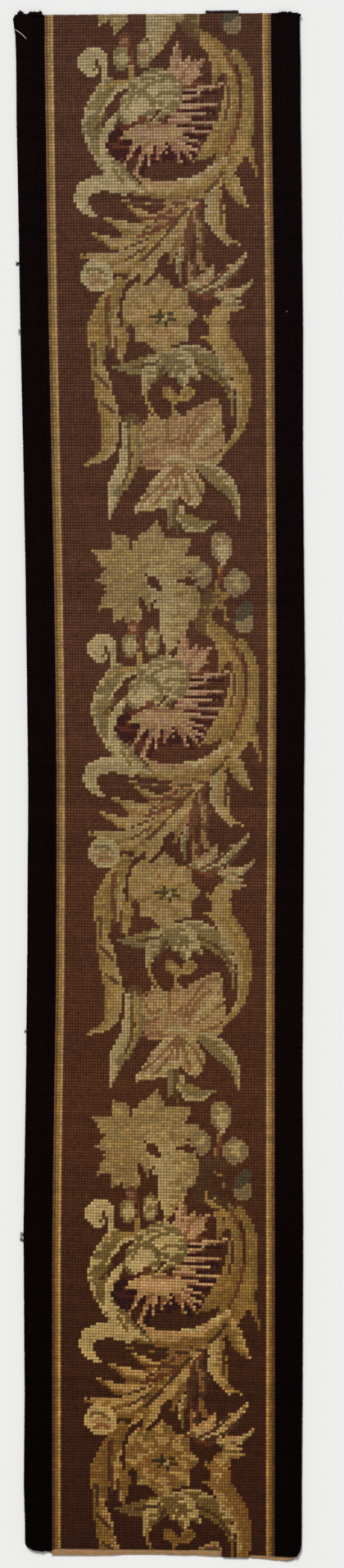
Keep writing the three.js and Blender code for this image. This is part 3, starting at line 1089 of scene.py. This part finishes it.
ground_wool = wool_material("ground_wool", sheen=0.03, shine=0.06, rough=0.9, fibre_depth=0.5)
band_wool = wool_material("band_wool", sheen=0.0, shine=0.03, rough=0.85, fibre_depth=0.5)
line_wool = wool_material("line_wool", sheen=0.05, shine=0.1, rough=0.88, fibre_depth=0.5)
motif_wool = wool_material("motif_wool", sheen=0.05, shine=0.1, rough=0.9, fibre_depth=0.5)

MOTIF_WOOLS = [name for name in NAMES if name not in LINE_WOOLS + ["ground", "band"]]
HALF_ROW = 265
THIRDS = [FIRST_ROW, 178, 356, MOST_ROWS]
WHOLE = (FIRST_ROW, MOST_ROWS)

for side, cols in (("left", chart_cols < 0), ("right", chart_cols >= FIELD_COLUMNS)):
    name = "band_stitches_" + side
    make_stitches(name, ["band"], *WHOLE, band_wool, "band_wool", cols, DENSE_BAND)
make_stitches("line_stitches", LINE_WOOLS, *WHOLE, line_wool, "line_wool")
for part, first, last in (("upper", FIRST_ROW, HALF_ROW), ("lower", HALF_ROW, MOST_ROWS)):
    name = "ground_stitches_" + part
    make_stitches(name, ["ground"], first, last, ground_wool, "ground_wool")
for part, first, last in zip(("upper", "middle", "lower"), THIRDS, THIRDS[1:]):
    name = "motif_stitches_" + part
    make_stitches(name, MOTIF_WOOLS, first, last, motif_wool, "motif_wool")

# Loose ends and bare threads, each a thin square tube along a few points

THREAD_WHITE = (206, 200, 188)
THREAD_CANVAS = (168, 133, 92)
THREAD_DARK = (17, 9, 10)
SHADE_THREAD = 0.12        # how much the shade changes along a thread
RING = ((1, 0), (0, 1), (-1, 0), (0, -1))      # the corners of a tube
ODD_WAY = (0.3, 0.2, 0.93)     # the sides of a tube are set square to this and to its path

TUFTS = [  # height above the foot, how far it stands out, how many fibres
    (1126, 3.0, 6),
    (1066, 1.8, 4),
    (459, 1.4, 4),
    (283, 2.6, 7),
    (278, 2.8, 7),
]
LOOPS = [(-124.5, -100.5, 1.3), (103.5, 121.5, 0.6)]   # from, to, how uneven they are
LOOP_PITCH = 1.6
LOOP_ROOT = (1339.6, 2.6)      # how far up a loop starts, and at what height
KNOT = (122.3, 1340.8)
STRAY_THREAD = [
    (-126.4, 1328.6, 3.1),
    (-123.4, 1327.4, 4.0),
    (-119.4, 1324.6, 4.0),
    (-116.4, 1321.8, 3.95),
    (-114.4, 1320, 3.8),
]
SPECK = [(110.9, 1083.2, 3.75), (111.3, 1083.7, 3.85), (111.6, 1083.3, 3.75)]
FRAYED = (-91.6, -90.6, -89.8)     # where frayed ends hang from the foot's left corner
LENGTHWISE = (0.1, 0.35, 0.6, 0.85)    # shares of the way from the canvas's edge to the wool


class Threads:
    """Threads gathered into one mesh."""

    def __init__(self):
        self.points, self.quads, self.colours = [], [], []
        self.random = np.random.default_rng(SEED + 3)

    def add(self, path, tone, radius, count=None):
        """One thread along a path of (across, up, height), thinner at its ends."""
        line = curve(path, count or 4 * len(path))
        way = np.gradient(line, axis=0)
        way /= np.linalg.norm(way, axis=1)[:, None]
        side = np.cross(way, ODD_WAY)
        side /= np.linalg.norm(side, axis=1)[:, None]
        over = np.cross(side, way)
        from_end = np.minimum(np.arange(len(line)), np.arange(len(line))[::-1])
        thick = radius * np.clip(from_end / 1.5, 0.5, 1)[:, None]
        ring = np.stack([line + thick * (side * a + over * b) for a, b in RING], 1)
        ring[..., 2] = np.maximum(ring[..., 2], LOWEST)
        start = sum(len(p) for p in self.points)
        index = start + np.arange(4 * len(line)).reshape(-1, 4)
        turned = np.roll(index, -1, 1)
        walls = np.stack([index[:-1], index[1:], turned[1:], turned[:-1]], -1).reshape(-1, 4)
        self.points.append(in_frame(*np.moveaxis(ring.reshape(-1, 3), 1, 0)))
        self.quads.append(np.concatenate([walls, index[:1], index[-1:, ::-1]]))
        shade = 1 + SHADE_THREAD * self.random.standard_normal(len(line))
        self.colours.append(np.repeat(linear(tone) * shade[:, None], 4, axis=0))

    def make(self, name, material, slot):
        arrays = (np.concatenate(parts) for parts in (self.points, self.quads, self.colours))
        return make_mesh(name, *arrays, material, slot)


def add_tufts(threads):
    for up, reach, count in TUFTS:
        edge = float(between(EDGES, 1, up))
        for _ in range(count):
            lean, spread, low = threads.random.uniform((-1.6, -2.2, 0.5), (1.6, 2.2, 2.2))
            path = [
                (edge + 0.7, up + spread * 0.4, low + 0.4),
                (edge - reach * 0.5, up + spread, low),
                (edge - reach, up + spread + lean, low * 0.7),
            ]
            threads.add(path, THREAD_DARK, radius=0.2)


def add_loops(threads):
    for first, last, rough in LOOPS:
        for across in np.arange(first, last, LOOP_PITCH):
            lean, wide, high = threads.random.uniform((-rough, 0.3, -rough), (rough, 0.9, 0.4))
            peak = float(between(TOP, 1, across)) + high
            path = [
                (across - wide, *LOOP_ROOT),
                (across - wide, peak - 1.4, 3.4),
                (across + lean, peak, 3.0),
                (across + wide, peak - 1.6, 3.2),
                (across + wide, *LOOP_ROOT),
            ]
            threads.add(path, THREAD_DARK, radius=0.75)


def make_band_threads():
    """Tufts on the left fold, loops at the top of both bands and a knot at the top right corner."""
    threads = Threads()
    add_tufts(threads)
    add_loops(threads)
    for turn in range(3):
        circle = spiral(KNOT, (0.8, 0.8), (turn * 50, turn * 50 + 300))
        threads.add([(x, y, 2.2 + 0.5 * turn) for x, y in circle], THREAD_DARK, radius=0.7)
    return threads.make("band_loose_ends", band_wool, "band_wool")


def add_foot_threads(threads, first, last):
    """The canvas threads of one bare stretch: short ones across its width, then long ones along it."""
    for across in np.arange(first + 0.6, last, THREAD_PITCH):
        edge = float(between(FOOT, 1, across))
        wool = float(between(FOOT, 2, across))
        sway, short = threads.random.uniform((-0.15, -0.3), (0.15, 0.5))
        path = [
            (across, wool + 0.8, BARE + 0.1),
            (across + sway, (edge + wool) / 2, BARE + 0.2),
            (across - sway, edge + 0.3 + short, BARE),
        ]
        threads.add(path, THREAD_CANVAS, radius=0.34, count=5)
    along = np.linspace(first + 0.6, last - 0.6, 30)
    edge, wool = between(FOOT, 1, along), between(FOOT, 2, along)
    for share in LENGTHWISE:
        up = edge + share * (wool - edge) + 0.12 * threads.random.standard_normal(len(along))
        height = np.full(len(along), BARE + 0.12)
        threads.add(np.stack([along, up, height], -1), THREAD_CANVAS, radius=0.36, count=60)


def make_light_threads():
    """The white thread at the top left, a speck on the right band and the canvas threads of the foot."""
    threads = Threads()
    threads.add(STRAY_THREAD, THREAD_WHITE, radius=0.34)
    threads.add(SPECK, THREAD_WHITE, radius=0.28)
    for across in FRAYED:
        lean, drop = threads.random.uniform((-1.4, 1.2), (0.4, 2.4))
        path = [(across, 7, 1.1), (across + lean / 2, 5.4, 0.9), (across + lean, 5.4 - drop, 0.4)]
        threads.add(path, THREAD_CANVAS, radius=0.22)
    for first, last in BARE_FOOT:
        add_foot_threads(threads, first, last)
    material = wool_material("light_fibre", sheen=0.05, shine=0.08, rough=0.9, fibre_depth=0.5)
    return threads.make("light_threads", material, "bare_canvas")


loose_threads = [make_band_threads(), make_light_threads()]

# The canvas: one folded sheet under the stitches

CANVAS_TONE = (176, 138, 96)
GAP_PAINTED_SHADE = (40, 28, 22)    # painted shade: a dark tone given to the canvas between the stitches, where their shade falls
GAP_SHARES = (0.15, 0.3)   # how much of the wool's colour and of this painted shade make up the canvas there
BACK_SHADE = 0.75          # what is left of a wool's colour on the back
STRIP_WIDTH = 242.0
STRIP_LENGTH = 1341.0
SHEET_COLUMNS = 40
SHEET_ROWS = 210
FOOT_ROWS = 20             # how many of them lie close together at the foot
FOOT_SHARE = 0.012         # and the share of the length that they take
FOLD_STEPS = 8
HEM_STEPS = 4
INNER_BEND = 0.15          # how far the inside of the fold bulges
FOOT_SHORT = 0.35          # how far the sheet stops short of the outline at the foot
TOP_SHORT = 1.2            # and at the top end
FACE_HEIGHT = 1.0          # the sheet's face lies higher than this
LEAST_BARE = 1.0           # a narrower margin at the foot counts as worked
MAP_MARGIN = 0.01


def canvas_steps():
    """Steps across the strip. Each has the shares of its width where the outer and the inner side of the
    canvas lie, their two heights, and whether the step belongs to a hem."""
    fold = FOLD_RADIUS + WOOL
    steps = []
    for n in range(HEM_STEPS):
        share = (HEM_WIDTH + (fold - HEM_WIDTH) * n / HEM_STEPS) / STRIP_WIDTH
        steps.append((share, share, 0.0, BARE, True))
    for n in range(FOLD_STEPS + 1):
        turn = math.pi * n / FOLD_STEPS
        reach = math.sin(turn)
        rise = (1 - math.cos(turn)) / 2
        outer = (fold - FOLD_RADIUS * reach) / STRIP_WIDTH
        inner = (fold - INNER_BEND * reach) / STRIP_WIDTH
        inner_height = BARE + rise * (2 * FOLD_RADIUS - BARE - SHEET)
        steps.append((outer, inner, rise * 2 * FOLD_RADIUS, inner_height, False))
    left = list(steps)
    first = fold / STRIP_WIDTH
    for n in range(1, SHEET_COLUMNS):
        share = first + (1 - 2 * first) * n / SHEET_COLUMNS
        raised = float(lift(min(share, 1 - share) * STRIP_WIDTH))
        steps.append((share, share, SHEET + raised, raised, False))
    for outer, inner, high, low, hem in reversed(left):
        steps.append((1 - outer, 1 - inner, high, low, hem))
    return steps


def sheet_map(quads, rows, cols):
    """The flat map of the sheet: its outer side on the left half, its inner side on the right half, and
    its rims on thin strips beside them."""
    point = quads.ravel()
    inner = point >= rows * cols
    row, col = np.divmod(point % (rows * cols), cols)
    u = (col / (cols - 1)) * (0.5 - 2 * MAP_MARGIN) + MAP_MARGIN + 0.5 * inner
    v = (row / (rows - 1)) * (1 - 2 * MAP_MARGIN) + MAP_MARGIN
    mixed = np.repeat(inner.reshape(-1, 4).any(1) & ~inner.reshape(-1, 4).all(1), 4)
    strip = MAP_MARGIN * (0.2 + 0.5 * inner)
    for rim in (col == 0, col == cols - 1):
        side = mixed & rim & np.repeat(rim.reshape(-1, 4).all(1), 4)
        u = np.where(side, np.where(col == 0, strip, 1 - strip), u)
    for rim in (row == 0, row == rows - 1):
        end = mixed & np.repeat(rim.reshape(-1, 4).all(1), 4)
        u = np.where(end, u % 0.5, u)
        v = np.where(end, np.where(row == 0, strip, 1 - strip), v)
    return np.stack([u, v], -1)


def sheet_side(along, share, height, hem):
    """The points of one side of the sheet."""
    guess = along * STRIP_LENGTH
    left, right = between(EDGES, 1, guess), between(EDGES, 2, guess)
    x = left + (right - left) * share
    low = between(FOOT, 1, x) + np.where(hem, HEM_SHORT, FOOT_SHORT)
    high = between(TOP, 1, x) - np.where(hem, HEM_SHORT, TOP_SHORT)
    return x, low + (high - low) * along, np.broadcast_to(height, x.shape)


def is_bare(x, y):
    """True where bare canvas shows at the foot."""
    wool_line = between(FOOT, 2, x)
    return (y < wool_line) & (wool_line - between(FOOT, 1, x) > LEAST_BARE)


def sheet_colours(x, y, hem, is_back):
    """Wool seen through the canvas on the back, painted shade on the canvas under the stitches, and bare
    canvas.
    """
    col, row = count_at(x, y)
    c = np.clip(np.floor(col).astype(int) + BAND_COLUMNS, 0, chart_wools.shape[1] - 1)
    r = np.clip(np.floor(row).astype(int) - FIRST_ROW, 0, chart_wools.shape[0] - 1)
    wool = chart_colours[r, c]
    # painted shade: on the face, the canvas under the stitches takes a darkened mix of the wool and a
    # dark tone
    tone = wool * BACK_SHADE if is_back else GAP_SHARES[0] * wool + GAP_SHARES[1] * linear(GAP_PAINTED_SHADE)
    plain = hem | (is_bare(x, y) & (not is_back))
    return np.where(plain[..., None], linear(CANVAS_TONE), tone).reshape(-1, 3)


def rim(a, b):
    """The faces between the edges of two grids."""
    return np.stack([a[:-1], b[:-1], b[1:], a[1:]], -1)


def make_canvas():
    outer_share, inner_share, outer_z, inner_z, hem = map(np.array, zip(*canvas_steps()))
    near_foot = np.linspace(0, FOOT_SHARE, FOOT_ROWS, endpoint=False)
    along = np.concatenate([near_foot, np.linspace(FOOT_SHARE, 1, SHEET_ROWS - FOOT_ROWS)])[:, None]
    ox, oy, oz = sheet_side(along, outer_share, outer_z, hem)
    ix, iy, iz = sheet_side(along, inner_share, inner_z, hem)
    oz = np.where(is_bare(ox, oy) & (oz > FACE_HEIGHT), oz - (SHEET - BARE), oz)
    points = np.concatenate([in_frame(ox, oy, oz).reshape(-1, 3), in_frame(ix, iy, iz).reshape(-1, 3)])
    rows, cols = ox.shape
    front = np.arange(rows * cols).reshape(rows, cols)
    back = front + rows * cols
    quads = np.concatenate([
        grid_quads(front),
        grid_quads(back)[:, ::-1],
        rim(front[:, 0], back[:, 0])[:, ::-1],
        rim(front[:, -1], back[:, -1]),
        rim(front[0], back[0]),
        rim(front[-1], back[-1])[:, ::-1],
    ])
    colours = np.concatenate([sheet_colours(ox, oy, hem, False), sheet_colours(ix, iy, hem, True)])
    material = wool_material("canvas_and_backs", sheen=0.0, shine=0.05, rough=0.92, fibre_depth=0.4)
    corners = sheet_map(quads, rows, cols)
    sheet = make_mesh("canvas_sheet", points, quads, colours, material, "bare_canvas", corners)
    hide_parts("worked_canvas")
    return sheet


canvas_sheet = make_canvas()
